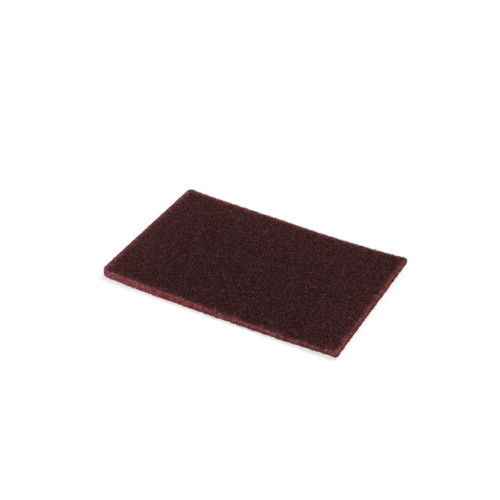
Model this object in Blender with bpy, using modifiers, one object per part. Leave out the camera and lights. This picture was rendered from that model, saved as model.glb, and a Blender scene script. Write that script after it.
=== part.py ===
"""Non-woven hand pad: one rectangle die-cut from a roll of bonded fibre web.

Metres, +Z up. The origin is on the resting face, under the middle of the pad, with +X along its length.
The web keeps a little of the roll's curl, so that it rests on a flat band across its middle, a little
left of centre, and both short ends stand clear of the bench. It is loftier at its left end than its right.
"""

import bmesh
import bpy

# Plan of the cut piece
PAD_LENGTH = 0.2286
PAD_WIDTH = 0.1524
CORNER_RADIUS = 0.0026
CORNER_SEGMENTS = 6

# Thickness of the web, which eases from one value to the other over this length about the middle
LEFT_THICKNESS = 0.0079
RIGHT_THICKNESS = 0.0049
TAPER_LENGTH = 0.150

# Softened edge round both faces
EDGE_RADIUS = 0.0011
EDGE_SEGMENTS = 3
MOST_EDGE_SHARE_OF_THICKNESS = 0.4
MOST_EDGE_SHARE_OF_CORNER = 0.9

# Curl left by the roll: flat near the middle, then rising as a parabola to each short end
FLAT_LENGTH = 0.060
FLAT_CENTRE = -0.020
END_LIFT = 0.0025
CURL_STATIONS = 12
FLAT_STATIONS = 4

# Colour of the web, linear
WEB_COLOUR = (0.075, 0.022, 0.025, 1.0)
WEB_ROUGHNESS = 0.92

# Radians: the rim turns by more than this, and the bends of the curl by less
BEVEL_ANGLE = 0.6

# Two coordinates nearer than this are the same place
SAME_PLACE = 1e-6

MODEL_COLLECTION = "hand_pad"
NODE = "web_pad"


def clear_scene():
    for obj in list(bpy.data.objects):
        bpy.data.objects.remove(obj)


def web_material():
    material = bpy.data.materials.new("maroon_fibre_web")
    material.use_nodes = True
    shader = material.node_tree.nodes["Principled BSDF"]
    shader.inputs["Base Color"].default_value = WEB_COLOUR
    shader.inputs["Roughness"].default_value = WEB_ROUGHNESS
    shader.inputs["Metallic"].default_value = 0.0
    return material


def lift_at(x):
    """How far the curl raises the web over the bench at this place along its length."""
    off_centre = x - FLAT_CENTRE
    end = PAD_LENGTH / 2 if off_centre > 0 else -PAD_LENGTH / 2
    run = abs(end - FLAT_CENTRE) - FLAT_LENGTH / 2
    rise = max(abs(off_centre) - FLAT_LENGTH / 2, 0.0) / run
    return END_LIFT * rise**2


def thickness_at(x):
    along = min(max(x / TAPER_LENGTH + 0.5, 0.0), 1.0)
    eased = along * along * (3.0 - 2.0 * along)
    return LEFT_THICKNESS + (RIGHT_THICKNESS - LEFT_THICKNESS) * eased


def curl_stations():
    """Places along the length where the web bends: evenly over the flat band, and over the run to each end."""
    start, stop = FLAT_CENTRE - FLAT_LENGTH / 2, FLAT_CENTRE + FLAT_LENGTH / 2
    spans = (
        (-PAD_LENGTH / 2, start, CURL_STATIONS),
        (start, stop, FLAT_STATIONS),
        (stop, PAD_LENGTH / 2, CURL_STATIONS),
    )
    return [low + (high - low) * step / count for low, high, count in spans for step in range(count)][1:]


def cut_blank():
    """The die-cut blank as a box with a loop of edges at each station, set to its curl and thickness."""
    blank = bmesh.new()
    bmesh.ops.create_cube(blank, size=1.0)
    bmesh.ops.scale(blank, vec=(PAD_LENGTH, PAD_WIDTH, 1.0), verts=blank.verts)
    for x in curl_stations():
        bmesh.ops.bisect_plane(
            blank,
            geom=blank.verts[:] + blank.edges[:] + blank.faces[:],
            plane_co=(x, 0.0, 0.0),
            plane_no=(1.0, 0.0, 0.0),
        )
    for vertex in blank.verts:
        x = vertex.co.x
        on_top = vertex.co.z > 0
        vertex.co.z = lift_at(x) + (thickness_at(x) if on_top else 0.0)
    return blank


def mark_plan_corners(blank):
    """Weights the four upright corner edges, which are rounded first."""
    weights = blank.edges.layers.float.new("bevel_weight_edge")
    for edge in blank.edges:
        first, second = (vertex.co for vertex in edge.verts)
        upright = (first.xy - second.xy).length < SAME_PLACE
        at_end = abs(abs(first.x) - PAD_LENGTH / 2) < SAME_PLACE
        edge[weights] = 1.0 if upright and at_end else 0.0


def soften(pad):
    """Rounds the corners of the plan, then the rim of both faces."""
    corners = pad.modifiers.new("round_corners", "BEVEL")
    corners.limit_method = "WEIGHT"
    corners.width = CORNER_RADIUS
    corners.segments = CORNER_SEGMENTS
    rim = pad.modifiers.new("soften_rim", "BEVEL")
    rim.limit_method = "ANGLE"
    rim.angle_limit = BEVEL_ANGLE
    rim.width = min(
        EDGE_RADIUS,
        MOST_EDGE_SHARE_OF_THICKNESS * min(LEFT_THICKNESS, RIGHT_THICKNESS),
        MOST_EDGE_SHARE_OF_CORNER * CORNER_RADIUS,
    )
    rim.segments = EDGE_SEGMENTS


def build_pad(collection):
    blank = cut_blank()
    mark_plan_corners(blank)
    mesh = bpy.data.meshes.new(NODE)
    blank.to_mesh(mesh)
    blank.free()
    mesh.materials.append(web_material())
    pad = bpy.data.objects.new(NODE, mesh)
    collection.objects.link(pad)
    soften(pad)
    mesh.shade_smooth()
    return pad


def main():
    clear_scene()
    collection = bpy.data.collections.new(MODEL_COLLECTION)
    bpy.context.scene.collection.children.link(collection)
    build_pad(collection)


main()
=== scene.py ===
"""Looks of the non-woven hand pad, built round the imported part: a die-cut rectangle of bonded nylon web."""

import math

import bpy
import numpy as np
from mathutils import Matrix, Vector, noise
from mathutils.bvhtree import BVHTree


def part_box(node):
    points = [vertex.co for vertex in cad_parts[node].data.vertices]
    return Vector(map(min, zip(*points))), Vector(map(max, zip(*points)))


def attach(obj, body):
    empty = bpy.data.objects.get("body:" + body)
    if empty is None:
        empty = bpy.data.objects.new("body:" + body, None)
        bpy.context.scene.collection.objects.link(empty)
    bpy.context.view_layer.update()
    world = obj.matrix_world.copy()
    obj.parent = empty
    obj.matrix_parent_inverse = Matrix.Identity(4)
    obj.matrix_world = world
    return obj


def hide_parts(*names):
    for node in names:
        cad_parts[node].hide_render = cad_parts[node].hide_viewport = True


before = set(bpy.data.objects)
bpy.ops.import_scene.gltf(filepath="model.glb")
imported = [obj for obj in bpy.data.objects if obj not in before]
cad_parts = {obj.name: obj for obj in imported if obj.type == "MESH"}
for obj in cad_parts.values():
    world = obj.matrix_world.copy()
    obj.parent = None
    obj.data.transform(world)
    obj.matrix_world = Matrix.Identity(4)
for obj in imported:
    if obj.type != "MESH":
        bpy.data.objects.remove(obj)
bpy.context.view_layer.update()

# Deep web
# The body of the pad is an open tangle of crimped nylon staple, bonded where the fibres cross. Under the
# loose surface fibres the eye meets it as a lumpy, pitted floor of fibres, so it is one closed mesh,
# made from the imported solid, which gives its outline, its curl and its thickness along the length. Its
# colours are darker than the fibre's own, partly as painted shade deep in the tangle.
MM = 0.001
CAD_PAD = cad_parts["web_pad"]
PAD_LOW, PAD_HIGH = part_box("web_pad")
HALF_LENGTH = (PAD_HIGH.x - PAD_LOW.x) / 2
HALF_WIDTH = (PAD_HIGH.y - PAD_LOW.y) / 2
CORNER_RADIUS = 2.6 * MM
FACE_STATIONS = 120


def read_faces():
    """Heights of the underside and the top of the solid at even stations along its length."""
    solid = BVHTree.FromPolygons(
        [v.co for v in CAD_PAD.data.vertices], [p.vertices for p in CAD_PAD.data.polygons]
    )
    reach = HALF_LENGTH - CORNER_RADIUS
    stations = np.linspace(-reach, reach, FACE_STATIONS)
    under = [solid.ray_cast(Vector((x, 0, -1)), Vector((0, 0, 1)))[0].z for x in stations]
    top = [solid.ray_cast(Vector((x, 0, 1)), Vector((0, 0, -1)))[0].z for x in stations]
    return stations, np.array(under), np.array(top)


STATIONS, UNDERSIDE, TOPSIDE = read_faces()

# Handling has worn three of the four corners rounder than the die cut them. The signs say which end and side
WORN_RADIUS = {(-1, -1): 5.5 * MM, (-1, 1): 4.8 * MM, (1, 1): 3.6 * MM}


def wear_corners(x, y):
    """The plan drawn in at the corners that handling rounded. Each point there moves towards the middle of
    the rounded arc, by the share that brings the die-cut outline onto that arc. The sides stay."""
    for (end, edge), radius in WORN_RADIUS.items():
        across = x * end - (HALF_LENGTH - radius)
        along = y * edge - (HALF_WIDTH - radius)
        lean = np.arctan2(along, across)
        low = np.clip(np.minimum(lean, math.pi / 2 - lean), 0, math.pi / 4)
        offset = radius - CORNER_RADIUS
        reach = offset * (np.cos(low) + np.sin(low))
        to_arc = reach + np.sqrt(np.maximum(CORNER_RADIUS**2 - 2 * offset**2 + reach**2, 0))
        to_cut = np.where(radius * np.tan(low) < offset, radius / np.cos(low), to_arc)
        share = np.where((across > 0) & (along > 0), radius / to_cut, 1.0)
        x = end * (HALF_LENGTH - radius + across * share)
        y = edge * (HALF_WIDTH - radius + along * share)
    return x, y


# The skin of the deep web rises by the web's loft at the top, lies a little under the loose fibres and is
# fuller round the rim. One smooth noise gives its lumps and its pits, with the pits from a place further on.
BODY_VOXEL = 1.25 * MM
LOFT = 0.3 * MM
FACE_INSET = 0.55 * MM
SIDE_INSET = 0.12 * MM
RIM_FILL = 0.22 * MM
LUMP_SIZE = 2.8 * MM
LUMP_DEPTH = 0.40 * MM
PIT_SIZE = 1.6 * MM
PIT_DEPTH = 0.70 * MM
PIT_SHIFT = 40


def voxel_copy(source, name, voxel):
    """The solid again as an even skin of small square faces."""
    scratch = bpy.data.objects.new(name + "_scratch", source.data.copy())
    bpy.context.scene.collection.objects.link(scratch)
    remesh = scratch.modifiers.new("even_skin", "REMESH")
    remesh.mode = "VOXEL"
    remesh.voxel_size = voxel
    graph = bpy.context.evaluated_depsgraph_get()
    mesh = bpy.data.meshes.new_from_object(scratch.evaluated_get(graph))
    bpy.data.objects.remove(scratch)
    mesh.name = name
    return mesh


def pit_and_lump(mesh):
    """Sets the skin in by a little and roughens it, in lumps of tangle and pits between them."""
    count = len(mesh.vertices)
    points, normals = np.empty(count * 3), np.empty(count * 3)
    mesh.vertices.foreach_get("co", points)
    mesh.vertices.foreach_get("normal", normals)
    points, normals = points.reshape(-1, 3), normals.reshape(-1, 3)
    lumps = np.array([noise.noise(Vector(p / LUMP_SIZE)) for p in points])
    pits = np.array([noise.noise(Vector(p / PIT_SIZE + PIT_SHIFT)) for p in points])
    on_face = np.abs(normals[:, 2])
    halfway_round_rim = 4 * on_face * (1 - on_face)
    push = LUMP_DEPTH * lumps * on_face - PIT_DEPTH * np.maximum(-pits, 0)
    push -= SIDE_INSET + (FACE_INSET - SIDE_INSET) * on_face
    push += RIM_FILL * halfway_round_rim
    under, top = (np.interp(points[:, 0], STATIONS, heights) for heights in (UNDERSIDE, TOPSIDE))
    points[:, 2] += LOFT * np.clip((points[:, 2] - under) / (top - under), 0, 1)
    points += normals * push[:, None]
    points[:, 0], points[:, 1] = wear_corners(points[:, 0], points[:, 1])
    mesh.vertices.foreach_set("co", points.ravel())
    mesh.update()


# Shares of the bake's map, and how level a face lies that counts as top or underside
MAP_FACE = 0.46
MAP_STRIP = 0.02
LEVEL_ENOUGH = 0.5


def lay_body_on_map(mesh):
    """Gives the top and the underside nearly half of the bake's map each, and each side a thin strip."""
    layer = mesh.uv_layers.new(name="OFBake")
    corner_vertex = np.empty(len(mesh.loops), np.int32)
    mesh.loops.foreach_get("vertex_index", corner_vertex)
    points = np.empty(len(mesh.vertices) * 3)
    mesh.vertices.foreach_get("co", points)
    place = points.reshape(-1, 3)[corner_vertex]
    along = (place[:, 0] + HALF_LENGTH) / (2 * HALF_LENGTH)
    across = (place[:, 1] + HALF_WIDTH) / (2 * HALF_WIDTH)
    up = (place[:, 2] - PAD_LOW.z) / (PAD_HIGH.z - PAD_LOW.z)
    normals = np.empty(len(mesh.polygons) * 3)
    mesh.polygons.foreach_get("normal", normals)
    sizes = np.empty(len(mesh.polygons), np.int32)
    mesh.polygons.foreach_get("loop_total", sizes)
    facing = np.repeat(normals.reshape(-1, 3), sizes, axis=0)
    level = np.abs(facing[:, 2]) > LEVEL_ENOUGH
    on_long_side = np.abs(facing[:, 1]) > np.abs(facing[:, 0])
    away = np.where(on_long_side, facing[:, 1], facing[:, 0]) > 0
    strip = np.where(on_long_side, 0, 2) + away
    u = np.where(level | on_long_side, along, across)
    v_on_face = (across + (facing[:, 2] < 0)) * MAP_FACE
    v_on_side = 2 * MAP_FACE + (strip + up) * MAP_STRIP
    v = np.where(level, v_on_face, v_on_side)
    layer.uv.foreach_set("vector", np.stack([u, v], 1).ravel().astype(np.float32))


web_mesh = voxel_copy(CAD_PAD, "deep_web", BODY_VOXEL)
pit_and_lump(web_mesh)
lay_body_on_map(web_mesh)
web_mesh.shade_smooth()
deep_web = bpy.data.objects.new("deep_web", web_mesh)
bpy.context.scene.collection.objects.link(deep_web)


def linear(hex_colour):
    """An sRGB hex colour as the linear RGBA that the shaders take."""
    channels = [int(hex_colour[i : i + 2], 16) / 255 for i in (1, 3, 5)]
    return [c / 12.92 if c <= 0.04045 else ((c + 0.055) / 1.055) ** 2.4 for c in channels] + [1.0]


def node(tree, kind, sockets=None, **settings):
    """Adds a shader node with its settings. A socket takes a value, an output or a node's first output."""
    made = tree.nodes.new(kind)
    for name, value in settings.items():
        setattr(made, name, value)
    for name, value in (sockets or {}).items():
        if isinstance(value, bpy.types.Node):
            value = value.outputs[0]
        if isinstance(value, bpy.types.NodeSocket):
            tree.links.new(value, made.inputs[name])
        else:
            made.inputs[name].default_value = value
    return made


def new_material(name):
    """An empty node material with its Principled shader, whose sockets the caller sets and links."""
    material = bpy.data.materials.new(name)
    material.use_nodes = True
    return material, material.node_tree, material.node_tree.nodes["Principled BSDF"]


# Crimped nylon staple dyed maroon, with its binder and grain, seen as a mass: matt, a dark ground with
# curled wisps of lighter fibre over it, and redder and paler where the die has cut the fibres open, with
# painted light near the outline. The dark ground and the dark of the cut are partly painted shade, for the
# depth of the tangle and its voids.
WEB_DARK_AND_PAINTED_SHADE = linear("#250f11")
WEB_WISP = linear("#452427")
CUT_DARK_AND_PAINTED_SHADE = linear("#542829")
CUT_WISP = linear("#c06a70")
WISP_ROUGHNESS = 0.7
GAP_ROUGHNESS = 0.95
WISP_BUMP = 0.6
WISP_HEIGHT = 0.3 * MM

# Spacing of each layer of wisps in millimetres, with how far its pattern is moved from the others, and the
# wisps' width as a share of the pattern's range. Real fibres are far too fine to show, so they are wider.
WISP_LAYERS = ((1.7, 0.0), (1.36, 31.0), (1.02, 57.0))
WISP_WIDTH = 0.06


def wisps(tree, in_mm, spacing, shift):
    """Curled lines where a smooth noise crosses its middle value."""
    shifted = node(tree, "ShaderNodeVectorMath", {0: in_mm, 1: (shift, shift * 2, -shift)}, operation="ADD")
    field = node(
        tree,
        "ShaderNodeTexNoise",
        {"Vector": shifted, "Scale": 1 / spacing, "Detail": 1.5, "Roughness": 0.5, "Distortion": 0.6},
    )
    off_middle = node(tree, "ShaderNodeMath", {0: field, 1: 0.5}, operation="SUBTRACT")
    distance = node(tree, "ShaderNodeMath", {0: off_middle}, operation="ABSOLUTE")
    return node(
        tree,
        "ShaderNodeMapRange",
        {"Value": distance, "From Min": 0.0, "From Max": WISP_WIDTH, "To Min": 1.0, "To Max": 0.0},
    )


# Tufts and the gaps between them come a little over a millimetre apart, which is two of the noise's cells
MOTTLE_CELL = 0.55
MOTTLE_LOW, MOTTLE_HIGH = 0.40, 0.60


def mottle(tree, in_mm):
    """Tufts and gaps of the web, from 0 in a gap to 1 on a tuft."""
    field = node(
        tree,
        "ShaderNodeTexNoise",
        {"Vector": in_mm, "Scale": 1 / MOTTLE_CELL, "Detail": 1.0, "Roughness": 0.6},
    )
    return node(
        tree,
        "ShaderNodeMapRange",
        {"Value": field, "From Min": MOTTLE_LOW, "From Max": MOTTLE_HIGH, "To Min": 0.0, "To Max": 1.0},
    )


# How far in from each side the web is cut open, how far the redder colour fades beyond that, how much their
# border wanders, in cells of so many millimetres, and how much of it spreads over the face near each side,
# and over what distance, as painted light. The reach and the fade differ from side to side partly to paint
# the light the rim catches, so they are partly the cut's colour and partly painted light
OPEN_AND_RIM_LIGHT_TO = {"right": 2.45 * MM, "left": 0.55 * MM, "back": 1.4 * MM, "front": 0.5 * MM}
OPEN_AND_RIM_LIGHT_FADE = {"right": 1.4 * MM, "left": 2.6 * MM, "back": 2.1 * MM, "front": 1.8 * MM}
RAGGED_BY = {"right": 1.2 * MM, "left": 2.4 * MM, "back": 2.4 * MM, "front": 2.4 * MM}
RAGGED_CELL = 8.0
EDGE_PAINTED_LIGHT_SHARE = {"right": 0.15, "left": 0.13, "back": 0.14, "front": 0.03}
EDGE_PAINTED_LIGHT_OVER = 25 * MM


def cut_share(tree, place, in_mm):
    """How much of the cut colour shows, from 1 on the die-cut outline to 0 on the face, with a faint share
    spread inward from each side as painted light. Also the share of the right-hand cut by itself."""
    field = node(tree, "ShaderNodeTexNoise", {"Vector": in_mm, "Scale": 1 / RAGGED_CELL, "Detail": 2.0})
    ragged = node(tree, "ShaderNodeMath", {0: field, 1: 0.5}, operation="SUBTRACT")
    axes = node(tree, "ShaderNodeSeparateXYZ", {0: place})
    cut = 0.0
    for side, output, sign, half in (
        ("right", axes.outputs[0], -1, HALF_LENGTH),
        ("left", axes.outputs[0], 1, HALF_LENGTH),
        ("back", axes.outputs[1], -1, HALF_WIDTH),
        ("front", axes.outputs[1], 1, HALF_WIDTH),
    ):
        inward = node(tree, "ShaderNodeMath", {0: output, 1: sign}, operation="MULTIPLY")
        gap = node(tree, "ShaderNodeMath", {0: inward, 1: half}, operation="ADD")
        wander = node(tree, "ShaderNodeMath", {0: ragged, 1: RAGGED_BY[side]}, operation="MULTIPLY")
        border = node(tree, "ShaderNodeMath", {0: wander, 1: OPEN_AND_RIM_LIGHT_TO[side]}, operation="SUBTRACT")
        beyond = node(tree, "ShaderNodeMath", {0: gap, 1: border}, operation="ADD")
        fade = node(tree, "ShaderNodeMath", {0: beyond, 1: -OPEN_AND_RIM_LIGHT_FADE[side]}, operation="DIVIDE")
        opened = node(tree, "ShaderNodeMath", {0: fade}, operation="EXPONENT", use_clamp=True)
        # Painted light: a faint share of the cut colour spread over the face near each side, fading inward
        away = node(tree, "ShaderNodeMath", {0: gap, 1: -EDGE_PAINTED_LIGHT_OVER}, operation="DIVIDE")
        near = node(tree, "ShaderNodeMath", {0: away}, operation="EXPONENT", use_clamp=True)
        edge_light = node(tree, "ShaderNodeMath", {0: near, 1: EDGE_PAINTED_LIGHT_SHARE[side]}, operation="MULTIPLY")
        share = node(tree, "ShaderNodeMath", {0: opened, 1: edge_light}, operation="MAXIMUM")
        cut = node(tree, "ShaderNodeMath", {0: cut, 1: share}, operation="MAXIMUM")
        if side == "right":
            at_right = share
    return cut, at_right


# How bright the cut is: more open at the lofty left end, where more of the pale fibre inside the coat shows,
# and swinging along the outline in cells of so many millimetres. Both front corners are opened further.
TONE_LEFT, TONE_RIGHT = 1.48, 0.84
TONE_CELL = 5.0
TONE_SWING = 2.2
TONE_LEAST = 0.5
CORNER_TONE = {-1: 1.1, 1: 0.5}
CORNER_REACH = 7 * MM


def cut_tone(tree, place, in_mm):
    """How bright the cut edge is at this place, where 1 is its colour as written."""
    axes = node(tree, "ShaderNodeSeparateXYZ", {0: place})
    along = axes.outputs[0]
    across = axes.outputs[1]
    level = node(
        tree,
        "ShaderNodeMapRange",
        {
            "Value": along,
            "From Min": -HALF_LENGTH,
            "From Max": HALF_LENGTH,
            "To Min": TONE_LEFT,
            "To Max": TONE_RIGHT,
        },
    )
    field = node(tree, "ShaderNodeTexNoise", {"Vector": in_mm, "Scale": 1 / TONE_CELL, "Detail": 2.0})
    off_middle = node(tree, "ShaderNodeMath", {0: field, 1: 0.5}, operation="SUBTRACT")
    swing = node(tree, "ShaderNodeMath", {0: off_middle, 1: TONE_SWING}, operation="MULTIPLY")
    swung = node(tree, "ShaderNodeMath", {0: level, 1: swing}, operation="ADD")
    tone = node(tree, "ShaderNodeMath", {0: swung, 1: TONE_LEAST}, operation="MAXIMUM")
    from_front = node(tree, "ShaderNodeMath", {0: across, 1: HALF_WIDTH}, operation="ADD")
    for end, more in CORNER_TONE.items():
        outward = node(tree, "ShaderNodeMath", {0: along, 1: end}, operation="MULTIPLY")
        from_end = node(tree, "ShaderNodeMath", {0: HALF_LENGTH, 1: outward}, operation="SUBTRACT")
        from_corner = node(tree, "ShaderNodeMath", {0: from_end, 1: from_front}, operation="ADD")
        away = node(tree, "ShaderNodeMath", {0: from_corner, 1: -CORNER_REACH}, operation="DIVIDE")
        near = node(tree, "ShaderNodeMath", {0: away}, operation="EXPONENT", use_clamp=True)
        opened = node(tree, "ShaderNodeMath", {0: near, 1: more}, operation="MULTIPLY")
        tone = node(tree, "ShaderNodeMath", {0: tone, 1: opened}, operation="ADD")
    return tone


# The right-hand cut is more even than the others. It is made darker low down, as painted shade by the bench,
# paler towards its top, as painted light, and warmer, as painted warm light bounced within its fibres
RIGHT_CUT_PAINTED_WARM_LIGHT = (1.0, 0.86, 0.73)
RIGHT_EVENNESS = 0.45
RIGHT_PAINTED_SHADE_LOW, RIGHT_PAINTED_LIGHT_HIGH = 0.30, 1.26
RIGHT_LOW_AT, RIGHT_HIGH_AT = 2.5 * MM, 8.2 * MM


def cut_colour(tree, place, dark, pale, shade, tone, at_right):
    """Colour of the cut fibre from its shade, scaled by its tone. The right-hand cut is evened, darkened low
    down as painted shade, paled towards its top as painted light, and warmed as painted warm light.
    """
    height = node(tree, "ShaderNodeSeparateXYZ", {0: place}).outputs[2]
    # Painted shade low on the right-hand cut, rising to painted light towards its top
    painted_light_ramp = node(
        tree,
        "ShaderNodeMapRange",
        {
            "Value": height,
            "From Min": RIGHT_LOW_AT,
            "From Max": RIGHT_HIGH_AT,
            "To Min": RIGHT_PAINTED_SHADE_LOW - 1,
            "To Max": RIGHT_PAINTED_LIGHT_HIGH - 1,
        },
    )
    evenness = node(tree, "ShaderNodeMath", {0: at_right, 1: RIGHT_EVENNESS}, operation="MULTIPLY")
    missing = node(tree, "ShaderNodeMath", {0: TONE_RIGHT, 1: tone}, operation="SUBTRACT")
    evening = node(tree, "ShaderNodeMath", {0: missing, 1: evenness}, operation="MULTIPLY")
    even_tone = node(tree, "ShaderNodeMath", {0: tone, 1: evening}, operation="ADD")
    painted_light_at_right = node(tree, "ShaderNodeMath", {0: painted_light_ramp, 1: at_right}, operation="MULTIPLY")
    gain = node(tree, "ShaderNodeMath", {0: painted_light_at_right, 1: 1.0}, operation="ADD")
    strength = node(tree, "ShaderNodeMath", {0: even_tone, 1: gain}, operation="MULTIPLY")
    cool = node(tree, "ShaderNodeMix", {0: shade, 6: dark, 7: pale}, data_type="RGBA").outputs[2]
    # Painted warm light on the right-hand cut
    warm_lit = node(tree, "ShaderNodeVectorMath", {0: cool, 1: RIGHT_CUT_PAINTED_WARM_LIGHT}, operation="MULTIPLY")
    colour = node(tree, "ShaderNodeMix", {0: at_right, 6: cool, 7: warm_lit}, data_type="RGBA").outputs[2]
    return node(tree, "ShaderNodeVectorMath", {0: colour, "Scale": strength}, operation="SCALE")


# The dye and the resin are sprayed on unevenly. For the tint of single tufts, and for patches of some
# millimetres, these are the noise's cell in millimetres, its move from the other, and the tint's range.
DYE_TINTS = ((1.4, 98.0, 0.68, 1.27), (5.0, 350.0, 0.86, 1.09))
DYE_LOW, DYE_HIGH = 0.35, 0.65
FACE_TINT_SHARE = 0.7


def uneven_dye(tree, colour, in_mm, cut):
    """The colour made redder or greyer from tuft to tuft, and warmer or cooler from patch to patch. It shows
    most where the web is cut open."""
    most_at_cut = node(tree, "ShaderNodeMath", {0: cut, 1: 1 - FACE_TINT_SHARE}, operation="MULTIPLY")
    strength = node(tree, "ShaderNodeMath", {0: most_at_cut, 1: FACE_TINT_SHARE}, operation="ADD")
    tints = []
    for cell, shift, least, most in DYE_TINTS:
        moved = node(tree, "ShaderNodeVectorMath", {0: in_mm, 1: (shift, 11.0, 23.0)}, operation="ADD")
        field = node(tree, "ShaderNodeTexNoise", {"Vector": moved, "Scale": 1 / cell, "Detail": 1.0})
        change = node(
            tree,
            "ShaderNodeMapRange",
            {
                "Value": field,
                "From Min": DYE_LOW,
                "From Max": DYE_HIGH,
                "To Min": least - 1,
                "To Max": most - 1,
            },
        )
        shown = node(tree, "ShaderNodeMath", {0: change, 1: strength}, operation="MULTIPLY")
        tints.append(node(tree, "ShaderNodeMath", {0: shown, 1: 1.0}, operation="ADD"))
    blue = node(tree, "ShaderNodeMath", {0: tints[0], 1: tints[1]}, operation="MULTIPLY")
    tint = node(tree, "ShaderNodeCombineXYZ", {0: 1.0, 1: tints[0], 2: blue})
    return node(tree, "ShaderNodeVectorMath", {0: colour, 1: tint}, operation="MULTIPLY")


def deep_web_material():
    material, tree, shader = new_material("crimped_nylon_staple_bonded")
    place = node(tree, "ShaderNodeTexCoord").outputs["Object"]
    in_mm = node(tree, "ShaderNodeVectorMath", {0: place, "Scale": 1 / MM}, operation="SCALE")
    all_wisps = 0.0
    for spacing, shift in WISP_LAYERS:
        layer = wisps(tree, in_mm, spacing, shift)
        all_wisps = node(tree, "ShaderNodeMath", {0: all_wisps, 1: layer}, operation="MAXIMUM")
    lines = node(tree, "ShaderNodeMath", {0: all_wisps, 1: mottle(tree, in_mm)}, operation="MULTIPLY")
    cut, at_right = cut_share(tree, place, in_mm)
    tone = cut_tone(tree, place, in_mm)
    # The dark ends of these colours fill the gaps between the wisps, partly as painted shade
    face = node(tree, "ShaderNodeMix", {0: lines, 6: WEB_DARK_AND_PAINTED_SHADE, 7: WEB_WISP}, data_type="RGBA").outputs[2]
    edge = cut_colour(tree, place, CUT_DARK_AND_PAINTED_SHADE, CUT_WISP, lines, tone, at_right)
    colour = node(tree, "ShaderNodeMix", {0: cut, 6: face, 7: edge}, data_type="RGBA").outputs[2]
    dyed = uneven_dye(tree, colour, in_mm, cut)
    rough = node(
        tree,
        "ShaderNodeMapRange",
        {"Value": lines, "To Min": GAP_ROUGHNESS, "To Max": WISP_ROUGHNESS},
    )
    bump = node(
        tree, "ShaderNodeBump", {"Height": lines, "Strength": WISP_BUMP, "Distance": WISP_HEIGHT}
    )
    tree.links.new(dyed.outputs[0], shader.inputs["Base Color"])
    tree.links.new(rough.outputs[0], shader.inputs["Roughness"])
    tree.links.new(bump.outputs[0], shader.inputs["Normal"])
    shader.inputs["Specular IOR Level"].default_value = 0.0
    return material


deep_web.data.materials.clear()
deep_web.data.materials.append(deep_web_material())
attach(deep_web, "root")
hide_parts("web_pad")

# Surface fibres
# Loose loops of the same staple on both faces, each a crimped strand that dips over and under its neighbours
# and stops where the die cut it. Real fibres are some hundredths of a millimetre across, which wouldn't show,
# so the strands are drawn coarser.
FIBRE_RADIUS = 0.17 * MM
RADIUS_SPREAD = (0.75, 1.25)
FIBRE_STEP = 0.6 * MM
FIBRE_POINTS = 4
CURL = 0.75 / MM
RIM_RADIUS = 0.7 * MM


def height_at(x, share):
    """Height at this place along the length, from 0 on the underside to 1 on the lofty top."""
    under = np.interp(x, STATIONS, UNDERSIDE)
    top = np.interp(x, STATIONS, TOPSIDE) + LOFT
    return under + (top - under) * share


def inside_by(x, y):
    """Distance in from the cut outline, with its rounded corners; negative outside it."""
    across = np.abs(x) - (HALF_LENGTH - CORNER_RADIUS)
    along = np.abs(y) - (HALF_WIDTH - CORNER_RADIUS)
    corner = np.hypot(np.maximum(across, 0), np.maximum(along, 0))
    return CORNER_RADIUS - corner - np.minimum(np.maximum(across, along), 0)


def rim_drop(x, y):
    """How far the rounded rim falls below the flat face near the outline."""
    out = np.clip(RIM_RADIUS - inside_by(x, y), 0, RIM_RADIUS)
    return RIM_RADIUS - np.sqrt(RIM_RADIUS**2 - out**2)


# A smooth random line is a sum of waves, each with between these many turns along a strand
WAVES = 2
TURNS = (0.4, 2.2)


def smooth_random(rng, count, points):
    """Rows of smooth random numbers, each a sum of a few sine waves of random phase and length."""
    along = np.linspace(0, 1, points)[None, :]
    total = np.zeros((count, points))
    for _ in range(WAVES):
        turns = rng.uniform(*TURNS, (count, 1))
        phase = rng.uniform(0, 2 * math.pi, (count, 1))
        total += np.sin(2 * math.pi * turns * along + phase)
    return total / math.sqrt(WAVES)


def crimped_runs(rng, starts, headings, points, step):
    """Curled paths in plan from these starts: the heading drifts smoothly, as crimp makes it."""
    turn = smooth_random(rng, len(starts), points) * CURL * step
    heading = headings[:, None] + np.cumsum(turn, axis=1)
    moves = np.stack([np.cos(heading), np.sin(heading)], 2) * step
    return starts[:, None, :] + np.cumsum(moves, axis=1)


FEWEST_POINTS = 3


def cut_runs(runs, beyond):
    """Each path ended where it first passes the outline by its own small stub, its points spread again."""
    kept = []
    for run, stub in zip(runs, beyond):
        if inside_by(run[0, 0], run[0, 1]) < -stub:
            run = run[::-1]
        outside = np.nonzero(inside_by(run[:, 0], run[:, 1]) < -stub)[0]
        last = outside[0] if len(outside) else len(run)
        if last < FEWEST_POINTS:
            continue
        share = np.linspace(0, last - 1, len(run))
        whole = np.arange(len(run))
        kept.append(np.stack([np.interp(share, whole, run[:, 0]), np.interp(share, whole, run[:, 1])], 1))
    return np.array(kept)


# Of a strand's cell on the bake's map: how many stand side by side, the clear border round it, and where the
# three corners of its closed ends lie across it
MAP_COLUMNS = 16
CELL_MARGIN = 0.08
END_CORNERS = (0.2, 0.5, 0.8)


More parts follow.
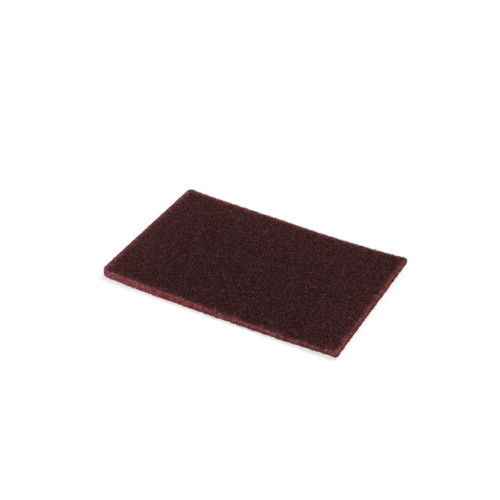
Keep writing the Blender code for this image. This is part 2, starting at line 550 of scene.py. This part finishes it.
def cells_on_map(mesh, count, points):
    """Lays each strand out in its own cell of the map, so that its colour can be kept in a picture."""
    rows = math.ceil(count / MAP_COLUMNS)
    strand = np.arange(count)
    left, low = (strand % MAP_COLUMNS) / MAP_COLUMNS, (strand // MAP_COLUMNS) / rows
    u = np.linspace(CELL_MARGIN, 1 - CELL_MARGIN, points)
    quads = np.empty((count, points - 1, 3, 4, 2))
    for corner in range(3):
        v0 = CELL_MARGIN + (1 - 2 * CELL_MARGIN) * corner / 3
        v1 = CELL_MARGIN + (1 - 2 * CELL_MARGIN) * (corner + 1) / 3
        quads[:, :, corner, 0] = np.stack([u[:-1], np.full(points - 1, v0)], 1)
        quads[:, :, corner, 1] = np.stack([u[1:], np.full(points - 1, v0)], 1)
        quads[:, :, corner, 2] = np.stack([u[1:], np.full(points - 1, v1)], 1)
        quads[:, :, corner, 3] = np.stack([u[:-1], np.full(points - 1, v1)], 1)
    ends = np.empty((2, count, 3, 2))
    first, middle, last = END_CORNERS
    for end, (near, far) in enumerate(((0.0, CELL_MARGIN), (1.0, 1 - CELL_MARGIN))):
        ends[end] = np.array([[near, first], [far, middle], [near, last]])
    scale = np.array([1 / MAP_COLUMNS, 1 / rows])
    origin = np.stack([left, low], 1)
    quads = quads * scale + origin[:, None, None, None, :]
    ends = ends * scale + origin[None, :, None, :]
    both = np.concatenate([quads.reshape(-1), ends.reshape(-1)])
    layer = mesh.uv_layers.new(name="OFBake")
    layer.uv.foreach_set("vector", both.astype(np.float32))


END_TAPER = 0.55
SHORTEST = 1e-12


def strands(name, paths, radii, shades):
    """One mesh of closed three-sided strands along these paths. Each has its own cell on the bake's map and
    keeps its shade, from 0 to 1, as an attribute."""
    count, points = paths.shape[:2]
    ahead = np.gradient(paths, axis=1)
    ahead /= np.maximum(np.linalg.norm(ahead, axis=2, keepdims=True), SHORTEST)
    side = np.cross(ahead, [0.0, 0.0, 1.0])
    side /= np.maximum(np.linalg.norm(side, axis=2, keepdims=True), SHORTEST)
    over = np.cross(side, ahead)
    taper = np.ones(points)
    taper[[0, -1]] = END_TAPER
    rings = []
    for corner in range(3):
        angle = math.pi / 2 + corner * 2 * math.pi / 3
        arm = side * math.cos(angle) + over * math.sin(angle)
        rings.append(paths + arm * radii[:, None, None] * taper[None, :, None])
    corners = np.stack(rings, 2).reshape(-1, 3)
    index = np.arange(count * points * 3).reshape(count, points, 3)
    quads = []
    for corner in range(3):
        after = (corner + 1) % 3
        near, far = index[:, :-1], index[:, 1:]
        quads.append(
            np.stack([near[:, :, corner], far[:, :, corner], far[:, :, after], near[:, :, after]], 2)
        )
    quads = np.stack(quads, 2).reshape(-1, 4)
    ends = np.concatenate([index[:, 0], index[:, -1, ::-1]])
    mesh = bpy.data.meshes.new(name)
    mesh.vertices.add(len(corners))
    mesh.vertices.foreach_set("co", corners.ravel())
    loops = np.concatenate([quads.ravel(), ends.ravel()])
    starts = np.concatenate([np.arange(len(quads)) * 4, len(quads) * 4 + np.arange(len(ends)) * 3])
    mesh.loops.add(len(loops))
    mesh.loops.foreach_set("vertex_index", loops.astype(np.int32))
    mesh.polygons.add(len(starts))
    mesh.polygons.foreach_set("loop_start", starts.astype(np.int32))
    mesh.update(calc_edges=True)
    own_shade = mesh.attributes.new("shade", "FLOAT", "POINT")
    own_shade.data.foreach_set("value", np.repeat(shades, points * 3).astype(np.float32))
    cells_on_map(mesh, count, points)
    mesh.shade_smooth()
    return mesh


# Coated nylon staple: maroon fibre under a thin coat of resin with fine grain in it. The resin gives each
# strand a dull gleam; strands near the cut show the redder fibre inside the coat. Near the outline they are
# also paler as painted light, and the right-hand cut carries painted shade, painted light and painted warm
# light.
COAT_DARK = linear("#2b1215")
COAT_PALE = linear("#935e63")
OPEN_DARK = linear("#662f31")
OPEN_PALE = linear("#ee9198")
TUFT_GAIN = 1.3
COAT_ROUGHNESS = 0.7
NYLON_IOR = 1.53
COAT_GLEAM = 0.2

# The mineral grain is a tenth of this size, which wouldn't show, so its specks are drawn coarser
GRAIN_CELL = 0.45
GRAIN_LOW, GRAIN_HIGH = 0.45, 0.7
GRAIN_GREY = linear("#6f6a66")
GRAIN_SHARE = 0.16


def with_grain(tree, colour, in_mm):
    """The colour greyed in specks by the fine mineral grain that the resin holds."""
    field = node(tree, "ShaderNodeTexNoise", {"Vector": in_mm, "Scale": 1 / GRAIN_CELL, "Detail": 1.0})
    specks = node(
        tree,
        "ShaderNodeMapRange",
        {
            "Value": field,
            "From Min": GRAIN_LOW,
            "From Max": GRAIN_HIGH,
            "To Min": 0.0,
            "To Max": GRAIN_SHARE,
        },
    )
    return node(tree, "ShaderNodeMix", {0: specks, 6: colour, 7: GRAIN_GREY}, data_type="RGBA").outputs[2]


def fibre_material():
    material, tree, shader = new_material("resin_coated_nylon_staple")
    place = node(tree, "ShaderNodeTexCoord").outputs["Object"]
    in_mm = node(tree, "ShaderNodeVectorMath", {0: place, "Scale": 1 / MM}, operation="SCALE")
    own = node(tree, "ShaderNodeAttribute", attribute_name="shade").outputs["Fac"]
    both = node(tree, "ShaderNodeMath", {0: own, 1: mottle(tree, in_mm)}, operation="MULTIPLY")
    shade = node(tree, "ShaderNodeMath", {0: both, 1: TUFT_GAIN}, operation="MULTIPLY", use_clamp=True)
    cut, at_right = cut_share(tree, place, in_mm)
    tone = cut_tone(tree, place, in_mm)
    face = node(tree, "ShaderNodeMix", {0: shade, 6: COAT_DARK, 7: COAT_PALE}, data_type="RGBA").outputs[2]
    edge = cut_colour(tree, place, OPEN_DARK, OPEN_PALE, shade, tone, at_right)
    colour = node(tree, "ShaderNodeMix", {0: cut, 6: face, 7: edge}, data_type="RGBA").outputs[2]
    dyed = uneven_dye(tree, colour, in_mm, cut)
    tree.links.new(with_grain(tree, dyed, in_mm), shader.inputs["Base Color"])
    shader.inputs["Roughness"].default_value = COAT_ROUGHNESS
    shader.inputs["IOR"].default_value = NYLON_IOR
    shader.inputs["Specular IOR Level"].default_value = COAT_GLEAM
    return material


coated_staple = fibre_material()


def add_strands(name, paths, radii, shades):
    """Makes one piece of strands in the coated staple, fixed to the pad."""
    made = bpy.data.objects.new(name, strands(name, paths, radii, shades))
    made.data.materials.append(coated_staple)
    bpy.context.scene.collection.objects.link(made)
    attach(made, "root")


PALE_SHADES = (0.7, 1)
DARK_SHADES = (0, 0.4)


def radii_and_shades(rng, count, pale_share):
    """A radius for each strand, and a shade from 0 to 1: this share of the strands is pale, the rest dark."""
    radii = rng.uniform(*RADIUS_SPREAD, count) * FIBRE_RADIUS
    pale = rng.uniform(0, 1, count) < pale_share
    shades = np.where(pale, rng.uniform(*PALE_SHADES, count), rng.uniform(*DARK_SHADES, count))
    return radii, shades


# How the strands lie: one in each cell of the web, sparser on the pressed underside, how deep the lowest ones
# lie, how far they wave and how far their ends dive, and what stands out past the cut
CELL = 1.22 * MM
UNDER_CELL = 2.2 * MM
SURFACE_DEPTH = 0.65 * MM
DEPTH_BIAS = 1.3
UNDULATION = 0.14 * MM
DIVE = 0.35 * MM
DIVE_BIAS = 3
STUB = 0.24 * MM
FACE_STUBS = (-0.2, 1.0)
FACE_PALE_SHARE = 0.42
# Strands lying deeper are darkened by up to this share: painted shade down in the web
PAINTED_SHADE_BY_DEPTH = 0.4
LENGTHWISE = 0.22


def face_fibres(seed, cell, low, high, on_top):
    """Paths, radii and shades of the loose fibres on one face, from one place along it to another. They lean
    a little to the roll's direction. Both ends of a strand dive under its neighbours. Deeper strands are
    given darker shades, as painted shade."""
    rng = np.random.default_rng(seed)
    columns = np.arange(-HALF_LENGTH - cell, HALF_LENGTH + cell, cell)
    columns = columns[(columns >= low) & (columns < high)]
    rows = np.arange(-HALF_WIDTH - cell, HALF_WIDTH + cell, cell)
    middles = np.stack(np.meshgrid(columns, rows), 2).reshape(-1, 2)
    count = len(middles)
    middles += rng.uniform(0, cell, (count, 2))
    headings = rng.uniform(0, 2 * math.pi, count)
    headings -= LENGTHWISE * np.sin(2 * headings)
    runs = crimped_runs(rng, middles, headings, FIBRE_POINTS, FIBRE_STEP)
    runs += (middles - runs.mean(axis=1))[:, None, :]
    runs = cut_runs(runs, rng.uniform(*FACE_STUBS, count) * STUB)
    count = len(runs)
    x, y = runs[:, :, 0], runs[:, :, 1]
    depth = rng.uniform(0, 1, (count, 1)) ** DEPTH_BIAS * SURFACE_DEPTH
    wave = smooth_random(rng, count, FIBRE_POINTS) * UNDULATION
    dive = DIVE * np.abs(np.linspace(-1, 1, FIBRE_POINTS)) ** DIVE_BIAS
    inward = depth + wave + dive + rim_drop(x, y)
    if on_top:
        z = height_at(x, 1.0) - inward
    else:
        z = height_at(x, 0.0) + np.maximum(inward, FIBRE_RADIUS)
    paths = np.stack([*wear_corners(x, y), z], 2)
    radii, shades = radii_and_shades(rng, count, FACE_PALE_SHARE)
    # Painted shade: the deeper a strand lies, the darker its shade
    shades *= 1 - PAINTED_SHADE_BY_DEPTH * depth[:, 0] / SURFACE_DEPTH
    return paths, radii, shades


# The top comes in three pieces, parted this far to the left and the right of the middle
PART_AT = 38 * MM
add_strands("top_fibres_left", *face_fibres(11, CELL, -math.inf, -PART_AT, True))
add_strands("top_fibres_middle", *face_fibres(12, CELL, -PART_AT, PART_AT, True))
add_strands("top_fibres_right", *face_fibres(13, CELL, PART_AT, math.inf, True))
add_strands("under_fibres", *face_fibres(14, UNDER_CELL, -math.inf, math.inf, False))

# Cut edge
# The die shears straight through the web, so the four sides show short ends and lengths of fibre at
# every height, redder than the faces because the cut goes through the coat. They start within a narrow band
# inside the outline and lie more or less along it.
EDGE_FIBRES = 5000
EDGE_POINTS = 9
EDGE_STEP = 0.9 * MM
EDGE_BAND = 2.4 * MM
EDGE_BIAS = 1.4
EDGE_LEAN = 0.8
EDGE_STUBS = (-0.3, 1.0)
EDGE_SHARES = (0.03, 0.97)
EDGE_WAVE = 0.03
EDGE_LOWEST, EDGE_HIGHEST = 0.02, 0.985
EDGE_PALE_SHARE = 0.56


def edge_fibres(seed, count):
    """Paths, radii and shades of the fibres that show on the cut sides, at every height."""
    rng = np.random.default_rng(seed)
    around = rng.uniform(0, 4 * (HALF_LENGTH + HALF_WIDTH), count)
    inset = rng.uniform(0, 1, count) ** EDGE_BIAS * EDGE_BAND
    on_long = around < 4 * HALF_LENGTH
    side = rng.choice([-1.0, 1.0], count)
    along_long = around / 2 - HALF_LENGTH
    along_short = (around - 4 * HALF_LENGTH) / 2 - HALF_WIDTH
    starts = np.where(
        on_long[:, None],
        np.stack([along_long, side * (HALF_WIDTH - inset)], 1),
        np.stack([side * (HALF_LENGTH - inset), along_short], 1),
    )
    headings = np.where(on_long, 0.0, math.pi / 2) + rng.normal(0, EDGE_LEAN, count)
    headings += np.where(rng.uniform(0, 1, count) < 0.5, math.pi, 0.0)
    runs = crimped_runs(rng, starts, headings, EDGE_POINTS, EDGE_STEP)
    runs = cut_runs(runs, rng.uniform(*EDGE_STUBS, count) * STUB)
    count = len(runs)
    x, y = runs[:, :, 0], runs[:, :, 1]
    share = rng.uniform(*EDGE_SHARES, (count, 1)) + smooth_random(rng, count, EDGE_POINTS) * EDGE_WAVE
    z = height_at(x, np.clip(share, EDGE_LOWEST, EDGE_HIGHEST))
    drop = rim_drop(x, y)
    z = np.clip(z, height_at(x, 0.0) + drop + FIBRE_RADIUS, height_at(x, 1.0) - drop)
    paths = np.stack([*wear_corners(x, y), z], 2)
    return paths, *radii_and_shades(rng, count, EDGE_PALE_SHARE)


add_strands("cut_edge_fibres", *edge_fibres(21, EDGE_FIBRES))

# Studio
# A plain sweep of matt white paper under soft light from above and from the front. The camera and the glosses
# see it as white, while what it throws on the pad stays plain, and the pad's shadow is kept.
FLOOR_WHITE = linear("#b0b0b0")
FLOOR_GLOW = 0.62
FLOOR_SIZE = 6.0
WHITE_LIGHT = (1, 1, 1, 1)
STUDIO_STRENGTH = 0.5


def seen_directly(tree):
    """1 where a surface is seen itself, in a gloss or through glass, and 0 where it only gives light."""
    sight = node(tree, "ShaderNodeLightPath")
    seen = 0.0
    for ray in ("Is Camera Ray", "Is Glossy Ray", "Is Transmission Ray"):
        seen = node(tree, "ShaderNodeMath", {0: seen, 1: sight.outputs[ray]}, operation="MAXIMUM")
    return seen


def make_floor():
    material, tree, shader = new_material("matt_white_paper")
    glow = node(tree, "ShaderNodeMath", {0: seen_directly(tree), 1: FLOOR_GLOW}, operation="MULTIPLY")
    tree.links.new(glow.outputs[0], shader.inputs["Emission Strength"])
    shader.inputs["Emission Color"].default_value = WHITE_LIGHT
    shader.inputs["Base Color"].default_value = FLOOR_WHITE
    shader.inputs["Roughness"].default_value = 1.0
    shader.inputs["Specular IOR Level"].default_value = 0.0
    bpy.ops.mesh.primitive_plane_add(size=FLOOR_SIZE, location=(0, 0, 0))
    floor = bpy.context.object
    floor.name = "floor"
    floor.data.materials.append(material)


def make_world():
    world = bpy.data.worlds.new("studio")
    bpy.context.scene.world = world
    world.use_nodes = True
    tree = world.node_tree
    backdrop = tree.nodes["Background"]
    backdrop.inputs["Color"].default_value = WHITE_LIGHT
    strength = node(
        tree,
        "ShaderNodeMapRange",
        {"Value": seen_directly(tree), "To Min": STUDIO_STRENGTH, "To Max": 1.0},
    )
    tree.links.new(strength.outputs[0], backdrop.inputs["Strength"])


# Each lamp's name, the side it shines from, its spread in degrees and its strength
LAMPS = (
    ("key", (0.4, 0.28, 1.0), 32, 1.3),
    ("fill", (0.35, -0.9, 0.36), 50, 1.0),
)


def add_lamp(name, towards, spread, strength):
    """A wide soft light from this side, as from a large diffuser far away."""
    lamp = bpy.data.lights.new(name, "SUN")
    lamp.angle = math.radians(spread)
    lamp.energy = strength
    holder = bpy.data.objects.new(name, lamp)
    holder.rotation_euler = (-Vector(towards)).to_track_quat("-Z", "Y").to_euler()
    bpy.context.scene.collection.objects.link(holder)


# The camera stands where the photograph's did, in degrees about the pad, and looks a little beside it
CAMERA_AZIMUTH = 27.69
CAMERA_ELEVATION = 35.464
CAMERA_ROLL = 1.03
CAMERA_DISTANCE = 1070.6 * MM
CAMERA_ASIDE = -5.75 * MM
CAMERA_UP = 19.24 * MM
CAMERA_NEAREST = 10 * MM
FOCAL_PIXELS = 1200.3
FRAME_PIXELS = 500
SENSOR_MM = 36.0


def make_camera():
    azimuth, elevation = math.radians(CAMERA_AZIMUTH), math.radians(CAMERA_ELEVATION)
    back = Vector(
        (
            math.sin(azimuth) * math.cos(elevation),
            -math.cos(azimuth) * math.cos(elevation),
            math.sin(elevation),
        )
    )
    level = (-back).cross(Vector((0, 0, 1))).normalized()
    turn = Matrix.Rotation(math.radians(-CAMERA_ROLL), 3, -back)
    right = turn @ level
    up = turn @ level.cross(-back)
    camera = bpy.data.cameras.new("camera")
    camera.sensor_width = SENSOR_MM
    camera.lens = SENSOR_MM * FOCAL_PIXELS / FRAME_PIXELS
    camera.clip_start = CAMERA_NEAREST
    holder = bpy.data.objects.new("camera", camera)
    axes = Matrix((right, up, back)).transposed().to_4x4()
    place = back * CAMERA_DISTANCE + right * CAMERA_ASIDE + up * CAMERA_UP
    holder.matrix_world = Matrix.Translation(place) @ axes
    bpy.context.scene.collection.objects.link(holder)
    bpy.context.scene.camera = holder


make_floor()
make_world()
for lamp_values in LAMPS:
    add_lamp(*lamp_values)
make_camera()
bpy.context.scene.view_settings.view_transform = "Standard"
